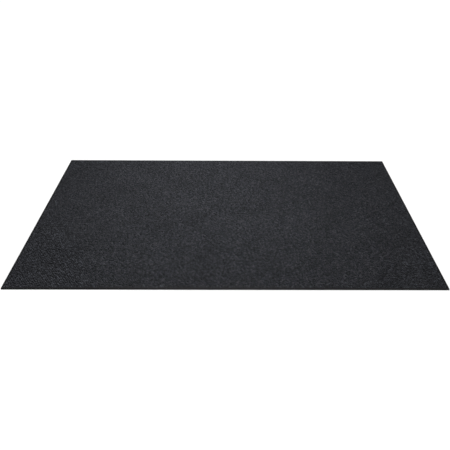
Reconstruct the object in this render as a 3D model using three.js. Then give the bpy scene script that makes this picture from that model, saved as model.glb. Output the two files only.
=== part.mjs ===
// Low-profile loop pile entrance mat. From the floor up it is a flexible vinyl backing sheet, a latex
// pre-coat that locks the tufts, a woven primary cloth that carries them, and the loop pile. Four slim
// edge strips, mitred at the corners, seal the cut edge of the layers.
//
// Millimetres, +Z up. The origin is on the floor under the middle of the mat, and +X runs along its
// long side. Every layer keeps its full coordinates, so that touching faces share one plane exactly.

import * as THREE from "three";
import { mergeVertices } from "three/addons/utils/BufferGeometryUtils.js";

// Overall size of the mat, over its edge strips.
const matLength = 900;
const matWidth = 600;

// Layers, from the floor up.
const backingThickness = 1.5;
const precoatThickness = 0.5;
const clothThickness = 0.5;
const pileHeight = 3;

// The pile is lower along its border, where its outer loops are shorter and lean out a little.
const shoulderWidth = 8;
const shoulderDrop = 1.75;
const shoulderSteps = 5;

// Edge strip: an upright wall round the cut edge, and a flange let in under the backing sheet.
const wallThickness = 3.25;
const wallCover = 1;
const wallCornerRadius = 1;
const wallCornerSegments = 6;
const flangeWidth = 12;
const flangeThickness = 0.75;
const flangeClearance = 0.3;
const mitreGap = 0.3;

// Heights of the faces between the layers. The wall covers the foot of the pile.
const backingTop = backingThickness;
const precoatTop = backingTop + precoatThickness;
const clothTop = precoatTop + clothThickness;
const pileTop = clothTop + pileHeight;
const wallHeight = clothTop + wallCover;

function material(color, roughness) {
  return new THREE.MeshStandardMaterial({ color, roughness, metalness: 0 });
}

const vinylBlack = material(0x1b1c1e, 0.6);
const stripBlack = material(0x141516, 0.5);
const latexGrey = material(0x6f6c66, 0.8);
const clothGrey = material(0x2c2d30, 0.9);
const yarnCharcoal = material(0x323337, 0.95);

// One rectangle of a loft, drawn in from the mat's outline by an inset, at a height.
function matRectangle(inset, z) {
  return { length: matLength - 2 * inset, width: matWidth - 2 * inset, z };
}

// A closed solid through stacked rectangles, listed from the floor up.
function rectangularLoft(rectangles) {
  const positions = rectangles.flatMap(({ length, width, z }) => [
    -length / 2, -width / 2, z,
    length / 2, -width / 2, z,
    length / 2, width / 2, z,
    -length / 2, width / 2, z,
  ]);
  const triangles = [];
  const addQuad = (a, b, c, d) => triangles.push(a, b, c, a, c, d);
  const top = 4 * (rectangles.length - 1);

  addQuad(3, 2, 1, 0);
  for (let low = 0; low < top; low += 4) {
    for (let corner = 0; corner < 4; corner++) {
      const next = (corner + 1) % 4;
      addQuad(low + corner, low + next, low + 4 + next, low + 4 + corner);
    }
  }
  addQuad(top, top + 1, top + 2, top + 3);

  const geometry = new THREE.BufferGeometry();
  geometry.setAttribute("position", new THREE.Float32BufferAttribute(positions, 3));
  geometry.setIndex(triangles);
  return geometry;
}

function namedMesh(name, geometry, finish) {
  geometry.computeVertexNormals();
  const mesh = new THREE.Mesh(geometry, finish);
  mesh.name = name;
  return mesh;
}

// The backing fills the mat inside the strips' walls. Its underside is stepped in all round, so that
// the strips' flanges lie flush with it on the floor.
function backingSheet() {
  const coreInset = flangeWidth + flangeClearance;
  const geometry = rectangularLoft([
    matRectangle(coreInset, 0),
    matRectangle(coreInset, flangeThickness),
    matRectangle(wallThickness, flangeThickness),
    matRectangle(wallThickness, backingTop),
  ]);
  return namedMesh("backing_sheet", geometry, vinylBlack);
}

// A flat layer between two heights, out to the strips' walls.
function flatLayer(name, bottom, top, finish) {
  const geometry = rectangularLoft([
    matRectangle(wallThickness, bottom),
    matRectangle(wallThickness, top),
  ]);
  return namedMesh(name, geometry, finish);
}

// The pile's envelope: a flat top that falls away in a parabola over the shoulder to the wall.
function loopPile() {
  const rectangles = [matRectangle(wallThickness, clothTop)];
  for (let step = 0; step <= shoulderSteps; step++) {
    const inward = step / shoulderSteps;
    const z = pileTop - shoulderDrop * (1 - inward) ** 2;
    rectangles.push(matRectangle(wallThickness + shoulderWidth * inward, z));
  }
  return namedMesh("loop_pile", rectangularLoft(rectangles), yarnCharcoal);
}

// The strip's section: x is the depth in from the mat's outer face and y is the height.
function stripSection() {
  const section = new THREE.Shape();
  section.moveTo(0, 0);
  section.lineTo(flangeWidth, 0);
  section.lineTo(flangeWidth, flangeThickness);
  section.lineTo(wallThickness, flangeThickness);
  section.lineTo(wallThickness, wallHeight);
  section.lineTo(wallCornerRadius, wallHeight);
  section.absarc(
    wallCornerRadius, wallHeight - wallCornerRadius, wallCornerRadius, Math.PI / 2, Math.PI, false);
  return section;
}

// One strip along a side of the mat. The section is swept along the side, and each of its points
// stops short of the corner by its own depth, which mitres the ends at 45 degrees.
function edgeStrip(name, sideLength, across, turns) {
  const swept = new THREE.ExtrudeGeometry(
    stripSection(), { depth: 1, bevelEnabled: false, curveSegments: wallCornerSegments });
  swept.deleteAttribute("normal");
  swept.deleteAttribute("uv");
  const geometry = mergeVertices(swept);
  const points = geometry.getAttribute("position");
  const endGap = mitreGap / Math.SQRT2;
  for (let i = 0; i < points.count; i++) {
    const depth = points.getX(i);
    const height = points.getY(i);
    const end = points.getZ(i) > 0.5 ? 1 : -1;
    points.setXYZ(i, end * (sideLength / 2 - depth - endGap), depth - across / 2, height);
  }
  const strip = namedMesh(name, geometry, stripBlack);
  strip.rotation.z = turns * Math.PI / 2;
  return strip;
}

function edgeStrips() {
  const strips = new THREE.Group();
  strips.add(
    edgeStrip("front_edge_strip", matLength, matWidth, 0),
    edgeStrip("right_edge_strip", matWidth, matLength, 1),
    edgeStrip("rear_edge_strip", matLength, matWidth, 2),
    edgeStrip("left_edge_strip", matWidth, matLength, 3),
  );
  return strips;
}

const mat = new THREE.Group();
mat.add(
  backingSheet(),
  flatLayer("latex_precoat", backingTop, precoatTop, latexGrey),
  flatLayer("primary_backing_cloth", precoatTop, clothTop, clothGrey),
  loopPile(),
  edgeStrips(),
);

export default mat;
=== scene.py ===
"""Low-profile loop pile entrance mat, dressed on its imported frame.

The pile is real yarn: rows of small loops tufted through a woven cloth. Under the cloth lie the latex
pre-coat and a vinyl backing sheet with moulded grip studs, and four slim vinyl strips seal the edge.
Everything is in metres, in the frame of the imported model.
"""

import math

import bpy
from mathutils import Matrix, Vector


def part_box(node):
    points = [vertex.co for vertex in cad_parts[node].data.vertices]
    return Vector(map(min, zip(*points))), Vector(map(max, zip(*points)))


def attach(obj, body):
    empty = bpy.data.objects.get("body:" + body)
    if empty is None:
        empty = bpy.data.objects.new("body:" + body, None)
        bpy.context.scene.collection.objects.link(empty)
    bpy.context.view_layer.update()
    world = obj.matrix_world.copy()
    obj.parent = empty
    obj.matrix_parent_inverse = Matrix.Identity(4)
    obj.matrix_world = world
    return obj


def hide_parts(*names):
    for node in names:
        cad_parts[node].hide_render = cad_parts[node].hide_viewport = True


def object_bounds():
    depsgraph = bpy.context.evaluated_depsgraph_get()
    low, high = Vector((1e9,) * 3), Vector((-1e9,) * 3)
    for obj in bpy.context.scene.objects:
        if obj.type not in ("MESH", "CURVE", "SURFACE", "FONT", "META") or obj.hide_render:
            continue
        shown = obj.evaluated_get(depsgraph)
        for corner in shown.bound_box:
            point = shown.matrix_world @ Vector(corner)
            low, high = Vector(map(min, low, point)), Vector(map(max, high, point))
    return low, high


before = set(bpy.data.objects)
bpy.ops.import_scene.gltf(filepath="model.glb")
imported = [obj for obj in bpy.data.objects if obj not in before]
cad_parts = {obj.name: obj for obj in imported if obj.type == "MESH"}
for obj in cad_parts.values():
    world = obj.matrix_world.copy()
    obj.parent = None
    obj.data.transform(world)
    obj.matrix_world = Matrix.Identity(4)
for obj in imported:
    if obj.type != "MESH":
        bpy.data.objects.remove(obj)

MM = 0.001
BODY = "root"
cad_low, cad_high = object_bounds()

# ---------------------------------------------------------------------------------------------
# Places and sizes. The frame gives the layers, and the rest are the maker's own sizes.
# ---------------------------------------------------------------------------------------------

pile_low, pile_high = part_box("loop_pile")
cloth_low, cloth_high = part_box("primary_backing_cloth")
backing_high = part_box("backing_sheet")[1]
strip_low, strip_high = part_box("front_edge_strip")

MAT_LENGTH = cad_high.x - cad_low.x
MAT_WIDTH = cad_high.y - cad_low.y
PILE_LENGTH = pile_high.x - pile_low.x
PILE_WIDTH = pile_high.y - pile_low.y
PILE_HEIGHT = pile_high.z - pile_low.z
WALL_THICKNESS = pile_low.y - strip_low.y
WALL_HEIGHT = strip_high.z
FLANGE_WIDTH = strip_high.y - strip_low.y
FLANGE_THICKNESS = 0.75 * MM
FLANGE_CLEARANCE = 0.3 * MM

# Tufting: rows run along the mat, one loop to each needle stroke. A loop's height and girth are
# shares of its full size, and its tilt and turn are the most that it may have either way.
TUFT_PITCH = 4.6 * MM
ROW_PITCH = 3.6 * MM
TUFT_JITTER = 0.9 * MM
LOOP_SPREAD = 3.4 * MM
LOOP_SKEW = 0.16
LOOP_FULLNESS = 0.8
LOOP_HEIGHTS = (0.86, 1.06)
LOOP_GIRTHS = (0.88, 1.12)
LOOP_TILT = math.radians(14)
LOOP_TURN = math.radians(57)
YARN_FOOT_RADIUS = 1.2 * MM
YARN_CROWN_RADIUS = 1.5 * MM
YARN_LUMP_PITCH = 2.2 * MM
YARN_LUMP_DEPTH = 1.2 * MM
FLECK_SPREAD = 0.65
LOOP_RINGS = 6
YARN_SIDES = 5
YARN_REACH = math.radians(105)
PILE_BANDS = 10

# Towards the border the loops get shorter and lean out over the strip.
SHOULDER_WIDTH = 9 * MM
SHOULDER_DROP = 1.3 * MM
SHOULDER_LEAN = math.radians(10)
END_MARGIN = 2.4 * MM
SIDE_MARGIN = 1.7 * MM

# Primary cloth: flat woven sheet, its top drawn down in shallow waves by the tufting.
CLOTH_CELL = 8 * MM
CLOTH_PUCKER = 0.08 * MM
CLOTH_WAVE_X = 2.3 * CLOTH_CELL
CLOTH_WAVE_Y = CLOTH_CELL
TAPE_PITCH = 1.8 * MM

# Edge strip: how round the corners of its section are, and how far it wanders along its length.
STRIP_OUTER_ROUND = 1.0 * MM
STRIP_INNER_ROUND = 0.45 * MM
STRIP_FOOT_ROUND = 0.25 * MM
STRIP_ARC_STEPS = 6
STRIP_STEP = 12 * MM
STRIP_WANDER = 0.05 * MM
STRIP_LONG_WAVE = 37
STRIP_SHORT_WAVE = 91
STRIP_END_GAP = 0.1 * MM

# Grip studs under the backing sheet.
STUD_HEIGHT = 0.6 * MM
STUD_RADIUS = 1.7 * MM
STUD_TIP_RADIUS = 1.2 * MM
STUD_TIP_ROUND = 0.25 * MM
STUD_ROOT = 0.1 * MM
STUD_PITCH = 15 * MM
STUD_SIDES = 8


# ---------------------------------------------------------------------------------------------
# Node trees
# ---------------------------------------------------------------------------------------------

def fill_inputs(tree, node, values):
    """Sets a node's inputs to values, or links them to sockets."""
    for name, value in dict(values).items():
        if isinstance(value, bpy.types.NodeSocket):
            tree.links.new(value, node.inputs[name])
        else:
            node.inputs[name].default_value = value
    return node


def add_node(tree, kind, inputs=(), **settings):
    """A new node. Its settings come first, because some of them change what inputs it has."""
    made = tree.nodes.new(kind)
    for name, value in settings.items():
        setattr(made, name, value)
    return fill_inputs(tree, made, inputs)


def calc(tree, operation, *values, clamp=False):
    """The result of one Math node."""
    made = add_node(tree, "ShaderNodeMath", enumerate(values), operation=operation, use_clamp=clamp)
    return made.outputs[0]


def vector_calc(tree, operation, *values):
    """The result of one Vector Math node."""
    return add_node(tree, "ShaderNodeVectorMath", enumerate(values), operation=operation).outputs[0]


def join_xyz(tree, x=0.0, y=0.0, z=0.0):
    return add_node(tree, "ShaderNodeCombineXYZ", {0: x, 1: y, 2: z}).outputs[0]


def split_xyz(tree, vector):
    return add_node(tree, "ShaderNodeSeparateXYZ", {0: vector}).outputs


def noise(tree, place, scale, detail):
    """A smooth random value at each place."""
    made = add_node(tree, "ShaderNodeTexNoise", {"Vector": place, "Scale": scale, "Detail": detail})
    return made.outputs["Fac"]


def mix_colors(tree, factor, first, second, blend="MIX"):
    """The result of one Mix node on two colours."""
    made = add_node(
        tree, "ShaderNodeMix", {0: factor, 6: first, 7: second}, data_type="RGBA", blend_type=blend)
    return made.outputs[2]


def new_tree(name, kind, inputs, outputs):
    """A node tree with named inputs and outputs, and the sockets that carry its inputs."""
    tree = bpy.data.node_groups.new(name, kind)
    for label, socket in outputs.items():
        tree.interface.new_socket(label, in_out="OUTPUT", socket_type="NodeSocket" + socket)
    for label, socket in inputs.items():
        tree.interface.new_socket(label, in_out="INPUT", socket_type="NodeSocket" + socket)
    return tree, tree.nodes.new("NodeGroupInput").outputs


def grown_object(name, tree, values):
    """A plain mesh object, grown by a geometry tree from these values."""
    grown = new_object(name, bpy.data.meshes.new(name))
    maker = grown.modifiers.new("maker", "NODES")
    maker.node_group = tree
    for socket in tree.interface.items_tree:
        if socket.in_out == "INPUT":
            maker[socket.identifier] = values[socket.name]
    depsgraph = bpy.context.evaluated_depsgraph_get()
    mesh = bpy.data.meshes.new_from_object(
        grown.evaluated_get(depsgraph), preserve_all_data_layers=True, depsgraph=depsgraph)
    grown.modifiers.remove(maker)
    unused = grown.data
    grown.data = mesh
    bpy.data.meshes.remove(unused)
    mesh.name = name
    return grown


def new_object(name, data):
    """A new object in the scene, at the origin."""
    made = bpy.data.objects.new(name, data)
    bpy.context.scene.collection.objects.link(made)
    return made


def mesh_from(name, points, faces, smooth=True):
    """A mesh of these points and faces, shaded smooth or flat."""
    mesh = bpy.data.meshes.new(name)
    mesh.from_pydata(points, [], faces)
    mesh.polygons.foreach_set("use_smooth", [smooth] * len(faces))
    mesh.update()
    return mesh


# ---------------------------------------------------------------------------------------------
# Shared shader groups
# ---------------------------------------------------------------------------------------------

# Dust thickens as its noise goes from one of these values to the other. It lies thinner on the sides.
DUST_COLOR = (0.15, 0.15, 0.15, 1)
DUST_FROM = 0.35
DUST_TO = 0.75
DUST_ON_SIDES = 0.15


def fine_grain_group():
    """Small random variation at two scales, for colour, roughness and bump height."""
    tree, given = new_tree(
        "fine grain", "ShaderNodeTree",
        {"Grain Scale": "Float", "Cloud Scale": "Float"}, {"Grain": "Float", "Cloud": "Float"})
    place = add_node(tree, "ShaderNodeTexCoord").outputs["Object"]
    grain = noise(tree, place, given["Grain Scale"], 2.0)
    cloud = noise(tree, place, given["Cloud Scale"], 3.0)
    add_node(tree, "NodeGroupOutput", {"Grain": grain, "Cloud": cloud})
    return tree


def dusting_group():
    """A thin, patchy film of dust over a colour, thicker on faces that look up."""
    tree, given = new_tree("dusting", "ShaderNodeTree", {
        "Color": "Color", "Dust Color": "Color", "Amount": "Float", "Patch Scale": "Float",
    }, {"Color": "Color"})
    place = add_node(tree, "ShaderNodeTexCoord").outputs["Object"]
    patches = noise(tree, place, given["Patch Scale"], 4.0)
    spread = add_node(tree, "ShaderNodeMapRange", {0: patches, 1: DUST_FROM, 2: DUST_TO}).outputs[0]
    normal = add_node(tree, "ShaderNodeNewGeometry").outputs["Normal"]
    facing_up = calc(tree, "MAXIMUM", split_xyz(tree, normal)["Z"], DUST_ON_SIDES)
    dust = calc(tree, "MULTIPLY", calc(tree, "MULTIPLY", spread, facing_up), given["Amount"], clamp=True)
    dusted = mix_colors(tree, dust, given["Color"], given["Dust Color"])
    add_node(tree, "NodeGroupOutput", {"Color": dusted})
    return tree


FINE_GRAIN = fine_grain_group()
DUSTING = dusting_group()


# ---------------------------------------------------------------------------------------------
# Materials
# ---------------------------------------------------------------------------------------------

# Yarn: its shades, how many plies it has, how far they twist along a loop, and how fine its fibres are.
YARN_DARK = (0.0062, 0.0066, 0.0082, 1)
YARN_MIDDLE = (0.0188, 0.0198, 0.0234, 1)
YARN_LIGHT = (0.0543, 0.0571, 0.0672, 1)
YARN_PLIES = 2.0
PLY_TWIST = 1.2
FIBRES_ACROSS = 9.0
FIBRES_ALONG = 3.0
FIBRES_APART = 40.0

# Each of the other finishes varies between a dark and a light shade.
# The tape's two shades are kept very dark as painted shade, for the shade that falls on the cloth between
# the loops.
TAPE_SHADED_DARK = (0.003, 0.0032, 0.0037, 1)
TAPE_SHADED_LIGHT = (0.011, 0.0116, 0.0133, 1)
LATEX_DARK = (0.11, 0.105, 0.095, 1)
LATEX_LIGHT = (0.22, 0.205, 0.18, 1)
STRIP_DARK = (0.003, 0.0032, 0.0037, 1)
STRIP_LIGHT = (0.006, 0.0063, 0.0072, 1)
BACKING_DARK = (0.009, 0.0093, 0.010, 1)
BACKING_LIGHT = (0.016, 0.0165, 0.018, 1)


def new_material(name):
    """A new material, with its tree and its Principled shader."""
    made = bpy.data.materials.new(name)
    made.use_nodes = True
    return made, made.node_tree, made.node_tree.nodes["Principled BSDF"]


def use_group(tree, group, values):
    """The outputs of a shader group placed in a material with these values."""
    return fill_inputs(tree, add_node(tree, "ShaderNodeGroup", (), node_tree=group), values).outputs


def bumped(tree, height, strength, distance):
    """The surface's normal, tilted by the slope of a height."""
    made = add_node(tree, "ShaderNodeBump", {"Height": height, "Strength": strength, "Distance": distance})
    return made.outputs["Normal"]


def yarn_material():
    """Two-ply charcoal yarn spun from darker and lighter fibres, matt, with a little sheen, and painted
    shade towards the feet and between the plies.
    """
    made, tree, shader = new_material("charcoal_yarn")
    shade = add_node(tree, "ShaderNodeAttribute", attribute_name="yarn_shade").outputs["Fac"]
    rise = add_node(tree, "ShaderNodeAttribute", attribute_name="yarn_rise").outputs["Fac"]
    grain = use_group(tree, FINE_GRAIN, {"Grain Scale": 2600.0, "Cloud Scale": 9.0})

    # The plies wind round each other, and their fibres run with them, apart from loop to loop.
    yarn_map = split_xyz(tree, add_node(tree, "ShaderNodeUVMap", uv_map="loop_map").outputs["UV"])
    around = calc(tree, "MULTIPLY", yarn_map["X"], YARN_PLIES)
    winding = calc(tree, "MULTIPLY_ADD", yarn_map["Y"], PLY_TWIST, around)
    ply = calc(tree, "ABSOLUTE", calc(tree, "SINE", calc(tree, "MULTIPLY", winding, math.pi)))
    strand = join_xyz(
        tree, calc(tree, "MULTIPLY", winding, FIBRES_ACROSS),
        calc(tree, "MULTIPLY", yarn_map["Y"], FIBRES_ALONG), calc(tree, "MULTIPLY", shade, FIBRES_APART))
    fibres = noise(tree, strand, 1.0, 2.0)

    # Each loop's own shade, flecked by its fibres and clouded a little over the mat.
    fibre = calc(tree, "MULTIPLY_ADD", fibres, 1.2, -0.6)
    cloud = calc(tree, "MULTIPLY_ADD", grain["Cloud"], 0.3, -0.15)
    fleck = calc(tree, "ADD", calc(tree, "ADD", shade, fibre), cloud, clamp=True)
    ramp = add_node(tree, "ShaderNodeValToRGB", {"Fac": fleck})
    stops = ramp.color_ramp.elements
    stops[0].color = YARN_DARK
    stops[1].color = YARN_LIGHT
    stops.new(0.5).color = YARN_MIDDLE

    # Painted shade: darker towards the feet and in the grooves between the plies, where shade falls.
    painted_foot_shade = calc(tree, "MULTIPLY_ADD", rise, 0.9, 0.25)
    painted_groove_shade = calc(tree, "MULTIPLY_ADD", calc(tree, "POWER", ply, 0.6), 0.75, 0.4)
    shadow = calc(tree, "MULTIPLY", painted_foot_shade, painted_groove_shade)
    color = mix_colors(tree, 1.0, ramp.outputs["Color"], join_xyz(tree, shadow, shadow, shadow), "MULTIPLY")
    dusty = use_group(tree, DUSTING, {
        "Color": color, "Dust Color": DUST_COLOR, "Amount": 0.03, "Patch Scale": 14.0})
    relief = calc(tree, "MULTIPLY_ADD", ply, 1.5, fibres)
    fill_inputs(tree, shader, {
        "Base Color": dusty["Color"], "Roughness": calc(tree, "MULTIPLY_ADD", grain["Grain"], 0.15, 0.85),
        "Normal": bumped(tree, relief, 0.9, 0.25 * MM),
        "Specular IOR Level": 0.1, "Sheen Weight": 0.04, "Sheen Roughness": 0.5})
    return made


def vinyl_material(name, dark, light, specular, roughness):
    """Black vinyl with a fine moulded grain and a little dust."""
    made, tree, shader = new_material(name)
    grain = use_group(tree, FINE_GRAIN, {"Grain Scale": 1400.0, "Cloud Scale": 25.0})
    dusty = use_group(tree, DUSTING, {
        "Color": mix_colors(tree, grain["Cloud"], dark, light),
        "Dust Color": DUST_COLOR, "Amount": 0.02, "Patch Scale": 60.0})
    fill_inputs(tree, shader, {
        "Base Color": dusty["Color"],
        "Roughness": calc(tree, "MULTIPLY_ADD", grain["Grain"], 0.2, roughness),
        "Normal": bumped(tree, grain["Grain"], 0.35, 0.05 * MM), "Specular IOR Level": specular})
    return made


def latex_material():
    """Cured latex pre-coat, grey-beige, with a fine froth of bubbles."""
    made, tree, shader = new_material("latex_froth")
    grain = use_group(tree, FINE_GRAIN, {"Grain Scale": 900.0, "Cloud Scale": 30.0})
    place = add_node(tree, "ShaderNodeTexCoord").outputs["Object"]
    bubbles = add_node(tree, "ShaderNodeTexVoronoi", {"Vector": place, "Scale": 700.0}).outputs["Distance"]
    fill_inputs(tree, shader, {
        "Base Color": mix_colors(tree, grain["Cloud"], LATEX_DARK, LATEX_LIGHT),
        "Roughness": calc(tree, "MULTIPLY_ADD", grain["Grain"], 0.2, 0.7),
        "Normal": bumped(tree, bubbles, 0.6, 0.1 * MM)})
    return made


def cloth_material():
    """Plain weave of flat dark tape, darkened all over as painted shade from the loops above it, and darker
    where a tape goes under, as painted shade. Each tape lies over one and under the next.
    """
    made, tree, shader = new_material("woven_tape")
    place = split_xyz(tree, add_node(tree, "ShaderNodeTexCoord").outputs["Object"])
    along = calc(tree, "SINE", calc(tree, "MULTIPLY", place["X"], math.pi / TAPE_PITCH))
    across = calc(tree, "SINE", calc(tree, "MULTIPLY", place["Y"], math.pi / TAPE_PITCH))
    over = calc(tree, "MULTIPLY_ADD", calc(tree, "MULTIPLY", along, across), 0.5, 0.5)
    grain = use_group(tree, FINE_GRAIN, {"Grain Scale": 1500.0, "Cloud Scale": 20.0})
    # Painted shade: a tape is darker where it goes under the next one, with a random grain over it.
    weave_shade_and_grain = calc(tree, "MULTIPLY", over, calc(tree, "MULTIPLY_ADD", grain["Grain"], 0.6, 0.7))
    fill_inputs(tree, shader, {
        "Base Color": mix_colors(tree, weave_shade_and_grain, TAPE_SHADED_DARK, TAPE_SHADED_LIGHT),
        "Roughness": calc(tree, "MULTIPLY_ADD", grain["Grain"], 0.2, 0.75),
        "Normal": bumped(tree, over, 0.8, 0.2 * MM), "Specular IOR Level": 0.15})
    return made


# ---------------------------------------------------------------------------------------------
# Loop pile
# ---------------------------------------------------------------------------------------------

def yarn_loop():
    """One tuft at its real size: a closed yarn that rises from the cloth, turns over and comes down.

    Most of its corners are on the outer side, which shows. Its map "loop_map" runs once round the yarn
    and once along it, with the two cut ends apart. "yarn_rise" is a point's share of the pile's height.
    """
    crown, sideways = PILE_HEIGHT - YARN_CROWN_RADIUS, Vector((0, 1, 0))
    angles = [YARN_REACH * (2 * side / (YARN_SIDES - 1) - 1) for side in range(YARN_SIDES)]
    shares = [ring / (LOOP_RINGS - 1) for ring in range(LOOP_RINGS)]
    points = []
    for share in shares:
        turn = math.pi * share + LOOP_SKEW * math.sin(math.tau * share)
        lift = max(0.0, math.sin(turn))
        centre = Vector((-LOOP_SPREAD / 2 * math.cos(turn), 0, crown * lift ** LOOP_FULLNESS))
        radius = YARN_FOOT_RADIUS + (YARN_CROWN_RADIUS - YARN_FOOT_RADIUS) * lift
        outward = Vector((-math.cos(turn), 0, lift))
        for angle in angles:
            points.append(centre + radius * (math.cos(angle) * outward + math.sin(angle) * sideways))

    faces, map_points = [], []
    turns = [0.5 + angle / math.tau for angle in angles]
    turns.append(turns[0] + 1)
    for ring in range(LOOP_RINGS - 1):
        for side in range(YARN_SIDES):
            low, after = ring * YARN_SIDES, (side + 1) % YARN_SIDES
            faces.append((low + side, low + YARN_SIDES + side, low + YARN_SIDES + after, low + after))
            for across, along in ((0, 0), (0, 1), (1, 1), (1, 0)):
                map_points.append((turns[side + across], shares[ring + along]))

    # The cut ends, each a disc of its own in the map.
    last = (LOOP_RINGS - 1) * YARN_SIDES
    faces.append(tuple(range(YARN_SIDES)))
    faces.append(tuple(reversed(range(last, last + YARN_SIDES))))
    for centre in (0.3, 0.8):
        for side in range(YARN_SIDES):
            angle = math.tau * side / YARN_SIDES
            map_points.append((centre + 0.2 * math.cos(angle), 1.1 + 0.05 * math.sin(angle)))

    mesh = mesh_from("yarn_loop", points, faces)
    loop_map = mesh.uv_layers.new(name="loop_map")
    loop_map.uv.foreach_set("vector", [value for point in map_points for value in point])
    rise = mesh.attributes.new("yarn_rise", "FLOAT", "POINT")
    rise.data.foreach_set("value", [point.z / PILE_HEIGHT for point in points])
    return new_object("yarn_loop", mesh)


def tufting_tree():
    """Grows one band of tufted rows. Loops stand a little at random, and lower near the border."""
    tree, given = new_tree("tufting", "GeometryNodeTree", {
        "Loop": "Object", "Yarn": "Material", "Seed": "Int",
        "Tufts": "Int", "Rows": "Int", "First Row": "Int", "Total Rows": "Int",
        "Tuft Pitch": "Float", "Row Pitch": "Float", "Jitter": "Float", "Foot Height": "Float",
        "Half Length": "Float", "Half Width": "Float", "End Margin": "Float", "Side Margin": "Float",
        "Shoulder Width": "Float", "Shoulder Drop": "Float", "Shoulder Lean": "Float",
        "Tilt": "Float", "Turn": "Float", "Lump Pitch": "Float", "Lump Depth": "Float",
        "Fleck Spread": "Float",
    }, {"Geometry": "Geometry"})

    def random(low, high, draw, kind="FLOAT"):
        """A random number or vector for each tuft. Each draw has its own number."""
        first = 2 if kind == "FLOAT" else 0
        made = add_node(tree, "FunctionNodeRandomValue", {
            first: low, first + 1: high, "Seed": calc(tree, "ADD", given["Seed"], draw)}, data_type=kind)
        return made.outputs[1 if kind == "FLOAT" else 0]

    def middle(count):
        """The step that would lie on the mat's middle line."""
        return calc(tree, "MULTIPLY_ADD", count, 0.5, -0.5)

    def settled(steps, pitch, half, margin, draw):
        """A place along one axis, nudged at random and kept inside the border."""
        nudge = calc(tree, "MULTIPLY", random(-1.0, 1.0, draw), given["Jitter"])
        place = calc(tree, "MULTIPLY_ADD", steps, pitch, nudge)
        limit = calc(tree, "SUBTRACT", half, margin)
        capped = calc(tree, "MINIMUM", place, limit)
        return calc(tree, "MAXIMUM", capped, calc(tree, "MULTIPLY", limit, -1.0))

    def border_pull(place, half):
        """From 0 well inside to 1 at the border, squared, with the sign of the side it is on."""
        inset = calc(tree, "SUBTRACT", half, calc(tree, "ABSOLUTE", place))
        near = calc(tree, "SUBTRACT", 1.0, calc(tree, "DIVIDE", inset, given["Shoulder Width"], clamp=True))
        return calc(tree, "MULTIPLY", calc(tree, "MULTIPLY", near, near), calc(tree, "SIGN", place))

    # Rows lie along X, centred on the mat, and every second row is shifted by half a tuft.
    index = add_node(tree, "GeometryNodeInputIndex").outputs[0]
    row = calc(tree, "ADD", calc(tree, "MODULO", index, given["Rows"]), given["First Row"])
    tuft = calc(tree, "FLOOR", calc(tree, "DIVIDE", index, given["Rows"]))
    shift = calc(tree, "MULTIPLY_ADD", calc(tree, "MODULO", row, 2.0), 0.5, -0.25)
    along = calc(tree, "ADD", calc(tree, "SUBTRACT", tuft, middle(given["Tufts"])), shift)
    across = calc(tree, "SUBTRACT", row, middle(given["Total Rows"]))
    place_x = settled(along, given["Tuft Pitch"], given["Half Length"], given["End Margin"], 1)
    place_y = settled(across, given["Row Pitch"], given["Half Width"], given["Side Margin"], 2)
    place = join_xyz(tree, place_x, place_y, given["Foot Height"])
    grid = add_node(tree, "GeometryNodeMeshGrid", {
        "Vertices X": given["Tufts"], "Vertices Y": given["Rows"]})
    feet = add_node(tree, "GeometryNodeSetPosition", {"Geometry": grid.outputs["Mesh"], "Position": place})

    # Towards the border a loop is shorter, and leans out.
    spot = split_xyz(tree, add_node(tree, "GeometryNodeInputPosition").outputs[0])
    pull_x = border_pull(spot["X"], given["Half Length"])
    pull_y = border_pull(spot["Y"], given["Half Width"])
    pull = calc(tree, "MAXIMUM", calc(tree, "ABSOLUTE", pull_x), calc(tree, "ABSOLUTE", pull_y))
    fall = calc(tree, "SUBTRACT", 1.0, calc(tree, "MULTIPLY", pull, given["Shoulder Drop"]))
    height = calc(tree, "MULTIPLY", fall, random(*LOOP_HEIGHTS, 3))
    girth = random(*LOOP_GIRTHS, 4)
    most = join_xyz(tree, given["Tilt"], given["Tilt"], given["Turn"])
    turn = random(vector_calc(tree, "MULTIPLY", most, (-1.0, -1.0, -1.0)), most, 5, "FLOAT_VECTOR")
    lean = join_xyz(
        tree, calc(tree, "MULTIPLY", pull_y, calc(tree, "MULTIPLY", given["Shoulder Lean"], -1.0)),
        calc(tree, "MULTIPLY", pull_x, given["Shoulder Lean"]))
    rotation = add_node(tree, "FunctionNodeRotateRotation", {
        0: add_node(tree, "FunctionNodeEulerToRotation", {0: turn}).outputs[0],
        1: add_node(tree, "FunctionNodeEulerToRotation", {0: lean}).outputs[0]}, rotation_space="GLOBAL")
    loops = add_node(tree, "GeometryNodeInstanceOnPoints", {
        "Points": feet.outputs[0],
        "Instance": add_node(tree, "GeometryNodeObjectInfo", {"Object": given["Loop"]}).outputs["Geometry"],
        "Rotation": rotation.outputs[0], "Scale": join_xyz(tree, girth, girth, height)})

    def store(geometry, name, value, kind, domain):
        return add_node(tree, "GeometryNodeStoreNamedAttribute", {
            "Geometry": geometry, "Name": name, "Value": value}, data_type=kind, domain=domain).outputs[0]

    def stored(name, kind):
        return add_node(tree, "GeometryNodeInputNamedAttribute", {"Name": name}, data_type=kind).outputs[0]

    # Each loop's shade, most often near the middle one, and its number in the band.
    fleck = calc(tree, "ADD", random(-0.5, 0.5, 6), random(-0.5, 0.5, 7))
    shade = calc(tree, "MULTIPLY_ADD", fleck, calc(tree, "MULTIPLY", given["Fleck Spread"], 0.5), 0.5)
    shaded = store(loops.outputs[0], "yarn_shade", shade, "FLOAT", "INSTANCE")
    numbered = store(shaded, "tuft_number", index, "FLOAT", "INSTANCE")
    real = add_node(tree, "GeometryNodeRealizeInstances", {"Geometry": numbered}).outputs[0]

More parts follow.
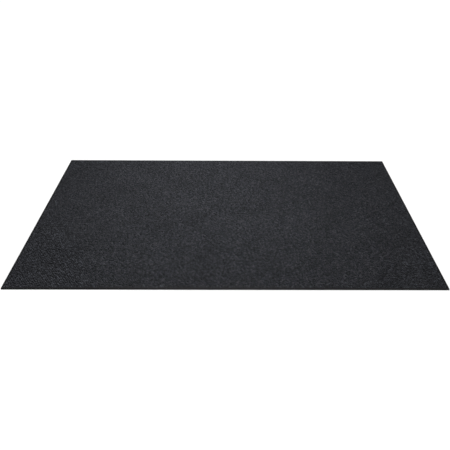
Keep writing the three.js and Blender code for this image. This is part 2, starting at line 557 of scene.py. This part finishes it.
    # A second map gives each loop of the band a cell of its own in one square, with a margin in it.
    cells = calc(tree, "CEIL", calc(tree, "SQRT", calc(tree, "MULTIPLY", given["Tufts"], given["Rows"])))
    number = calc(tree, "ADD", stored("tuft_number", "FLOAT"), 0.5)
    cell = join_xyz(
        tree, calc(tree, "FLOOR", calc(tree, "MODULO", number, cells)),
        calc(tree, "FLOOR", calc(tree, "DIVIDE", number, cells)))
    inside = vector_calc(
        tree, "MULTIPLY_ADD", stored("loop_map", "FLOAT_VECTOR"), (0.92, 0.78, 0.0), (0.04, 0.04, 0.0))
    all_cells = join_xyz(tree, cells, cells, 1.0)
    whole_map = vector_calc(tree, "DIVIDE", vector_calc(tree, "ADD", cell, inside), all_cells)
    mapped = store(real, "OFBake", whole_map, "FLOAT2", "CORNER")

    # Soft lumps and dents, so that no two loops lie quite alike.
    lumps = add_node(tree, "ShaderNodeTexNoise", {
        "Scale": calc(tree, "DIVIDE", 1.0, given["Lump Pitch"]), "Detail": 1.0}).outputs["Color"]
    push = vector_calc(
        tree, "MULTIPLY", vector_calc(tree, "SUBTRACT", lumps, (0.5, 0.5, 0.5)),
        join_xyz(tree, given["Lump Depth"], given["Lump Depth"], given["Lump Depth"]))
    lumpy = add_node(tree, "GeometryNodeSetPosition", {"Geometry": mapped, "Offset": push}).outputs[0]
    finished = add_node(tree, "GeometryNodeSetMaterial", {"Geometry": lumpy, "Material": given["Yarn"]})
    add_node(tree, "NodeGroupOutput", {"Geometry": finished.outputs[0]})
    return tree


def loop_pile(yarn):
    """The pile, grown in bands of rows from the front to the rear."""
    loop, tree = yarn_loop(), tufting_tree()
    row_run, column_run = PILE_LENGTH - 2 * END_MARGIN, PILE_WIDTH - 2 * SIDE_MARGIN
    tufts, rows = round(row_run / TUFT_PITCH), round(column_run / ROW_PITCH) + 1
    bands = []
    for band in range(PILE_BANDS):
        first, after = rows * band // PILE_BANDS, rows * (band + 1) // PILE_BANDS
        made = grown_object(f"loop_pile_band_{band + 1}", tree, {
            "Loop": loop, "Yarn": yarn, "Seed": 100 * band + 7,
            "Tufts": tufts, "Rows": after - first, "First Row": first, "Total Rows": rows,
            "Tuft Pitch": row_run / (tufts - 0.5), "Row Pitch": column_run / (rows - 1),
            "Jitter": TUFT_JITTER, "Foot Height": pile_low.z,
            "Half Length": PILE_LENGTH / 2, "Half Width": PILE_WIDTH / 2,
            "End Margin": END_MARGIN, "Side Margin": SIDE_MARGIN,
            "Shoulder Width": SHOULDER_WIDTH, "Shoulder Drop": SHOULDER_DROP / PILE_HEIGHT,
            "Shoulder Lean": SHOULDER_LEAN, "Tilt": LOOP_TILT, "Turn": LOOP_TURN,
            "Lump Pitch": YARN_LUMP_PITCH, "Lump Depth": YARN_LUMP_DEPTH, "Fleck Spread": FLECK_SPREAD})
        made.data.attributes.remove(made.data.attributes["tuft_number"])
        bands.append(made)
    bpy.data.objects.remove(loop)
    return bands


# ---------------------------------------------------------------------------------------------
# Primary cloth
# ---------------------------------------------------------------------------------------------

def primary_cloth(finish):
    """The cloth, a thin closed sheet of small cells with shallow waves in its top."""
    columns = round(PILE_LENGTH / CLOTH_CELL)
    rows = round(PILE_WIDTH / CLOTH_CELL)
    points, faces = [], []
    for level in (cloth_low.z, cloth_high.z):
        for row in range(rows + 1):
            for column in range(columns + 1):
                x = PILE_LENGTH * (column / columns - 0.5)
                y = PILE_WIDTH * (row / rows - 0.5)
                wave_x, wave_y = math.sin(x / CLOTH_WAVE_X), math.sin(y / CLOTH_WAVE_Y)
                dip = CLOTH_PUCKER * (0.5 + 0.25 * wave_x + 0.25 * wave_y)
                points.append((x, y, level - (dip if level == cloth_high.z else 0)))

    def at(level, row, column):
        return (level * (rows + 1) + row) * (columns + 1) + column

    for row in range(rows):
        for column in range(columns):
            corners = [(row, column), (row, column + 1), (row + 1, column + 1), (row + 1, column)]
            faces.append([at(1, *corner) for corner in corners])
            faces.append([at(0, *corner) for corner in reversed(corners)])
    rim = [(0, column) for column in range(columns)] + [(row, columns) for row in range(rows)]
    rim += [(rows, column) for column in range(columns, 0, -1)] + [(row, 0) for row in range(rows, 0, -1)]
    for here, after in zip(rim, rim[1:] + rim[:1]):
        faces.append([at(0, *here), at(0, *after), at(1, *after), at(1, *here)])
    mesh = mesh_from("woven_primary_cloth", points, faces, smooth=False)
    mesh.materials.append(finish)
    return new_object("woven_primary_cloth", mesh)


# ---------------------------------------------------------------------------------------------
# Edge strips
# ---------------------------------------------------------------------------------------------

def arc(centre, radius, start, end):
    """Points on an arc, in degrees, from start to end."""
    steps = range(STRIP_ARC_STEPS + 1)
    angles = [math.radians(start + (end - start) * step / STRIP_ARC_STEPS) for step in steps]
    return [(centre[0] + radius * math.cos(a), centre[1] + radius * math.sin(a)) for a in angles]


def strip_section():
    """The strip's section as (depth in from the mat's outer face, height), with its corners rounded."""
    foot, outer, inner = STRIP_FOOT_ROUND, STRIP_OUTER_ROUND, STRIP_INNER_ROUND
    return [
        (FLANGE_WIDTH, 0), (FLANGE_WIDTH, FLANGE_THICKNESS), (WALL_THICKNESS, FLANGE_THICKNESS),
        *arc((WALL_THICKNESS - inner, WALL_HEIGHT - inner), inner, 0, 90),
        *arc((outer, WALL_HEIGHT - outer), outer, 90, 180),
        *arc((foot, foot), foot, 180, 270),
    ]


def edge_strip(name, side_length, across, turns, finish):
    """One strip, mitred at both ends.

    Its outer face and top wander a little, in two waves that differ from side to side and die out
    at the mitres.
    """
    section = strip_section()
    steps = round(side_length / STRIP_STEP)
    points, faces = [], []
    for step in range(steps + 1):
        run = step / steps - 0.5
        wave = math.sin(STRIP_LONG_WAVE * run + turns) + 0.6 * math.sin(STRIP_SHORT_WAVE * run + 2.1 * turns)
        settle = STRIP_WANDER * wave * (1 - (2 * run) ** 8)
        for painted_foot_shade, height in section:
            x = run * 2 * (side_length / 2 - painted_foot_shade - STRIP_END_GAP)
            loose = height / WALL_HEIGHT * (1 - painted_foot_shade / FLANGE_WIDTH)
            points.append((x, painted_foot_shade - across / 2 + settle * loose * 0.5, height + min(0.0, settle) * loose))
    count = len(section)
    for step in range(steps):
        for corner in range(count):
            low, after = step * count, (corner + 1) % count
            faces.append((low + corner, low + after, low + count + after, low + count + corner))
    faces.append(list(reversed(range(count))))
    faces.append([steps * count + corner for corner in range(count)])
    mesh = mesh_from(name, points, faces)
    mesh.transform(Matrix.Rotation(turns * math.pi / 2, 4, "Z"))
    mesh.set_sharp_from_angle(angle=math.radians(40))
    mesh.materials.append(finish)
    return new_object(name, mesh)


# ---------------------------------------------------------------------------------------------
# Backing sheet
# ---------------------------------------------------------------------------------------------

def grip_stud():
    """One stud, pointing down from the sheet: a short cone with a rounded, closed tip."""
    profile = [
        (STUD_RADIUS, STUD_HEIGHT + STUD_ROOT), (STUD_RADIUS, STUD_HEIGHT),
        (STUD_TIP_RADIUS, STUD_TIP_ROUND), (STUD_TIP_RADIUS - STUD_TIP_ROUND, 0)]
    points, faces = [], []
    for radius, z in profile:
        for side in range(STUD_SIDES):
            angle = math.tau * side / STUD_SIDES
            points.append((radius * math.cos(angle), radius * math.sin(angle), z))
    for ring in range(len(profile) - 1):
        for side in range(STUD_SIDES):
            low, after = ring * STUD_SIDES, (side + 1) % STUD_SIDES
            faces.append((low + after, low + side, low + STUD_SIDES + side, low + STUD_SIDES + after))
    tip = (len(profile) - 1) * STUD_SIDES
    faces.append(list(range(STUD_SIDES)))
    faces.append([tip + side for side in reversed(range(STUD_SIDES))])
    return new_object("grip_stud", mesh_from("grip_stud", points, faces))


def sheet_body():
    """The plain vinyl sheet, stepped in under its rim to leave room for the strips' flanges."""
    core = FLANGE_WIDTH + FLANGE_CLEARANCE
    levels = [
        (core, STUD_HEIGHT), (core, FLANGE_THICKNESS),
        (WALL_THICKNESS, FLANGE_THICKNESS), (WALL_THICKNESS, backing_high.z)]
    points, faces = [], [(3, 2, 1, 0)]
    for inset, z in levels:
        x, y = MAT_LENGTH / 2 - inset, MAT_WIDTH / 2 - inset
        points += [(-x, -y, z), (x, -y, z), (x, y, z), (-x, y, z)]
    for low in range(0, 4 * (len(levels) - 1), 4):
        for corner in range(4):
            after = (corner + 1) % 4
            faces.append((low + corner, low + after, low + 4 + after, low + 4 + corner))
    top = 4 * (len(levels) - 1)
    faces.append((top, top + 1, top + 2, top + 3))
    return new_object("sheet_body", mesh_from("sheet_body", points, faces, smooth=False))


def stud_tree():
    """Sets the sheet's studs in staggered rows under it, and joins them to the sheet."""
    tree, given = new_tree("grip studs", "GeometryNodeTree", {
        "Sheet": "Object", "Stud": "Object", "Vinyl": "Material",
        "Columns": "Int", "Rows": "Int", "Pitch": "Float",
    }, {"Geometry": "Geometry"})
    index = add_node(tree, "GeometryNodeInputIndex").outputs[0]
    row = calc(tree, "MODULO", index, given["Rows"])
    shift = calc(tree, "MULTIPLY_ADD", calc(tree, "MODULO", row, 2.0), 0.5, -0.25)
    size_x = calc(tree, "MULTIPLY", calc(tree, "SUBTRACT", given["Columns"], 1.0), given["Pitch"])
    size_y = calc(tree, "MULTIPLY", calc(tree, "SUBTRACT", given["Rows"], 1.0), given["Pitch"])
    grid = add_node(tree, "GeometryNodeMeshGrid", {
        "Size X": size_x, "Size Y": size_y, "Vertices X": given["Columns"], "Vertices Y": given["Rows"]})
    offset = join_xyz(tree, calc(tree, "MULTIPLY", shift, given["Pitch"]))
    places = add_node(tree, "GeometryNodeSetPosition", {"Geometry": grid.outputs["Mesh"], "Offset": offset})
    stud = add_node(tree, "GeometryNodeObjectInfo", {"Object": given["Stud"]}).outputs["Geometry"]
    studs = add_node(tree, "GeometryNodeInstanceOnPoints", {"Points": places.outputs[0], "Instance": stud})
    joined = add_node(tree, "GeometryNodeJoinGeometry")
    tree.links.new(studs.outputs[0], joined.inputs[0])
    sheet = add_node(tree, "GeometryNodeObjectInfo", {"Object": given["Sheet"]}).outputs["Geometry"]
    tree.links.new(sheet, joined.inputs[0])
    real = add_node(tree, "GeometryNodeRealizeInstances", {"Geometry": joined.outputs[0]})
    finished = add_node(tree, "GeometryNodeSetMaterial", {
        "Geometry": real.outputs[0], "Material": given["Vinyl"]})
    add_node(tree, "NodeGroupOutput", {"Geometry": finished.outputs[0]})
    return tree


def studded_backing(finish):
    """The backing sheet with its studs, as many as fit clear of the strips' flanges."""
    sheet, stud = sheet_body(), grip_stud()
    clear = 2 * (FLANGE_WIDTH + FLANGE_CLEARANCE + STUD_RADIUS) + 0.5 * STUD_PITCH
    made = grown_object("studded_backing_sheet", stud_tree(), {
        "Sheet": sheet, "Stud": stud, "Vinyl": finish, "Pitch": STUD_PITCH,
        "Columns": int((MAT_LENGTH - clear) / STUD_PITCH) + 1,
        "Rows": int((MAT_WIDTH - clear) / STUD_PITCH) + 1})
    for maker in (sheet, stud):
        bpy.data.objects.remove(maker)
    return made


# ---------------------------------------------------------------------------------------------
# Dress the frame
# ---------------------------------------------------------------------------------------------

def dress(piece, node):
    """A piece rides on the mat's one body and stands for a node, which it hides."""
    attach(piece, BODY)
    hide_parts(node)


def wear(node, material):
    """Gives a kept node its material."""
    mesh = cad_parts[node].data
    mesh.materials.clear()
    mesh.materials.append(material)


strip_vinyl = vinyl_material("strip_vinyl", STRIP_DARK, STRIP_LIGHT, specular=0.12, roughness=0.4)
backing_vinyl = vinyl_material("backing_vinyl", BACKING_DARK, BACKING_LIGHT, specular=0.3, roughness=0.6)

pile_bands = loop_pile(yarn_material())
for band in pile_bands:
    dress(band, "loop_pile")

cloth = primary_cloth(cloth_material())
dress(cloth, "primary_backing_cloth")

wear("latex_precoat", latex_material())

dress(studded_backing(backing_vinyl), "backing_sheet")

for turns, side in enumerate(("front", "right", "rear", "left")):
    lengths = (MAT_LENGTH, MAT_WIDTH) if turns % 2 == 0 else (MAT_WIDTH, MAT_LENGTH)
    strip = edge_strip(f"{side}_vinyl_strip", *lengths, turns, strip_vinyl)
    dress(strip, f"{side}_edge_strip")


# ---------------------------------------------------------------------------------------------
# Studio
# ---------------------------------------------------------------------------------------------

FLOOR_SIZE = 60.0
FLOOR_WHITE = 0.9
FLOOR_GAP = 0.02 * MM

# The sky is a wide soft ceiling: bright overhead and dim near the horizon.
SKY_STRENGTH = 2.1
SKY_LOW = 0.03
SKY_FROM = math.sin(math.radians(34))
SKY_TO = math.sin(math.radians(50))
BACKDROP_WHITE = 1.1

# A softbox over the mat makes its middle a little brighter than its ends.
SOFTBOX_PLACE = (-0.053, 0.098, 0.3)
SOFTBOX_SIZE = (0.5, 1.0)
SOFTBOX_POWER = 3.03

CAMERA_PLACE = (0.0059, -1.2113, 0.7125)
CAMERA_PITCH = math.radians(31.553)
CAMERA_YAW = math.radians(-0.662)
CAMERA_ROLL = math.radians(0.505)
CAMERA_LENS = 45.817
CAMERA_SHIFT = -0.0216
CAMERA_SENSOR = 36.0


def studio_floor():
    """A wide pale floor just under the mat."""
    half, level = FLOOR_SIZE / 2, cad_low.z - FLOOR_GAP
    corners = [(-half, -half, level), (half, -half, level), (half, half, level), (-half, half, level)]
    mesh = mesh_from("studio_floor", corners, [(0, 1, 2, 3)])
    made, tree, shader = new_material("studio_paper")
    white = (FLOOR_WHITE, FLOOR_WHITE, FLOOR_WHITE, 1)
    fill_inputs(tree, shader, {"Base Color": white, "Roughness": 1.0, "Specular IOR Level": 0.0})
    mesh.materials.append(made)
    new_object("studio_floor", mesh)


def studio_sky():
    """Lights the floor white from overhead. Seen straight, the backdrop is plain white too."""
    world = bpy.data.worlds.new("studio_sky")
    world.use_nodes = True
    tree = world.node_tree
    direction = split_xyz(tree, add_node(tree, "ShaderNodeTexCoord").outputs["Generated"])
    fade = {0: direction["Z"], 1: SKY_FROM, 2: SKY_TO, 3: SKY_LOW, 4: SKY_STRENGTH}
    glow = add_node(tree, "ShaderNodeMapRange", fade, interpolation_type="SMOOTHSTEP").outputs[0]
    seen = add_node(tree, "ShaderNodeLightPath").outputs["Is Camera Ray"]
    strength = add_node(tree, "ShaderNodeMix", {0: seen, 2: glow, 3: BACKDROP_WHITE}).outputs[0]
    fill_inputs(tree, tree.nodes["Background"], {"Color": (1, 1, 1, 1), "Strength": strength})
    bpy.context.scene.world = world


def softbox(name, place, size, power, lit):
    """A long softbox overhead that faces straight down and lights only these objects."""
    light = bpy.data.lights.new(name, "AREA")
    light.shape = "RECTANGLE"
    light.size, light.size_y = size
    light.energy = power
    made = new_object(name, light)
    made.location = place
    made.visible_camera = False
    receivers = bpy.data.collections.new(name + " receivers")
    for piece in lit:
        receivers.objects.link(piece)
    made.light_linking.receiver_collection = receivers


def studio_camera():
    """Looks down on the mat from the front, with the small turn and roll of a hand-set tripod."""
    data = bpy.data.cameras.new("studio_camera")
    data.lens = CAMERA_LENS
    data.sensor_width = CAMERA_SENSOR
    data.shift_x = CAMERA_SHIFT
    data.clip_start, data.clip_end = 0.01, 2 * FLOOR_SIZE
    camera = new_object("studio_camera", data)
    camera.rotation_mode = "QUATERNION"
    tilt = Matrix.Rotation(CAMERA_YAW, 3, "Z") @ Matrix.Rotation(math.pi / 2 - CAMERA_PITCH, 3, "X")
    camera.rotation_quaternion = (tilt @ Matrix.Rotation(CAMERA_ROLL, 3, "Z")).to_quaternion()
    camera.location = CAMERA_PLACE
    bpy.context.scene.camera = camera


mat_objects = [thing for thing in bpy.context.scene.objects if thing.type == "MESH"]
studio_floor()
studio_sky()
softbox("overhead_softbox", SOFTBOX_PLACE, SOFTBOX_SIZE, SOFTBOX_POWER, mat_objects)
studio_camera()
bpy.context.scene.view_settings.view_transform = "Standard"
bpy.context.scene.view_settings.look = "None"
